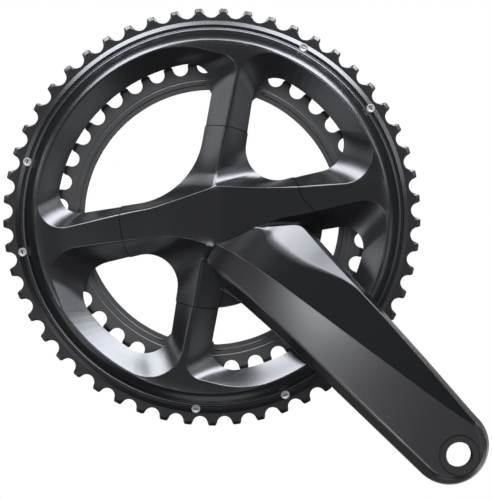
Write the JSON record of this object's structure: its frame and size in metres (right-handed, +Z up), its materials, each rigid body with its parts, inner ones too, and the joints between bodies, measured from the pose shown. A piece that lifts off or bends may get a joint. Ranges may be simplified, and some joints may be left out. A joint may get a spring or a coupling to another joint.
{
  "type": "bicycle crankset",
  "caption": "Drive side of a double road crankset: forged arm and spider, sculpted outer ring, small inner ring and a hollow spindle turning in a threaded bottom bracket.",
  "frame": {"origin": "middle of the bottom bracket shell, on the crank axis", "axes": "+Y along the crank axis from the drive side to the left side, +X forwards, +Z up; the arm rests forwards and down as pictured"},
  "size_m": [0.2499, 0.133, 0.2452],
  "materials": {
    "dark_anodised": "dark grey satin anodising",
    "grey_anodised": "mid grey satin anodising",
    "black_anodised": "black satin anodising",
    "black_plastic": "matt moulded",
    "rubber": "matt",
    "steel": "ground",
    "bright_steel": "bright"
  },
  "bodies": {
    "bottom_bracket": {"bb_cup_right": "black_anodised", "bb_cup_left": "black_anodised", "bb_sleeve": "black_plastic", "sleeve_o_ring_right": "rubber", "sleeve_o_ring_left": "rubber", "bearing_outer_race_right": "steel", "bearing_outer_race_left": "steel", "bearing_seal_outer_right": "rubber", "bearing_seal_inner_right": "rubber", "bearing_seal_outer_left": "rubber", "bearing_seal_inner_left": "rubber"},
    "balls_right": {"ball_ring_right": "steel"},
    "balls_left": {"ball_ring_left": "steel"},
    "crank": {"bearing_inner_race_right": "steel", "bearing_inner_race_left": "steel", "dust_cover_right": "black_plastic", "dust_cover_left": "black_plastic", "spindle": "steel", "crank_arm": "dark_anodised", "outer_chainring": "dark_anodised", "inner_chainring": "grey_anodised", "chainring_bolt_1": "steel", "chainring_bolt_2": "steel", "chainring_bolt_3": "steel", "chainring_bolt_4": "steel", "shift_pin_1": "bright_steel", "shift_pin_2": "bright_steel", "shift_pin_3": "bright_steel", "shift_pin_4": "bright_steel", "shift_pin_5": "bright_steel", "shift_pin_6": "bright_steel", "chain_drop_pin": "bright_steel"}
  },
  "joints": [
    {"name": "crank_spin", "type": "hinge", "parent": "bottom_bracket", "child": "crank", "pos_m": [0, 0, 0], "axis": [0, 1, 0], "continuous": true},
    {"name": "balls_right_spin", "type": "hinge", "parent": "bottom_bracket", "child": "balls_right", "pos_m": [0, -0.0405, 0], "axis": [0, 1, 0], "continuous": true},
    {"name": "balls_left_spin", "type": "hinge", "parent": "bottom_bracket", "child": "balls_left", "pos_m": [0, 0.0405, 0], "axis": [0, 1, 0], "continuous": true}
  ],
  "couplings": [
    {"joint": "balls_right_spin", "follows": "crank_spin", "ratio": 0.444},
    {"joint": "balls_left_spin", "follows": "crank_spin", "ratio": 0.444}
  ]
}
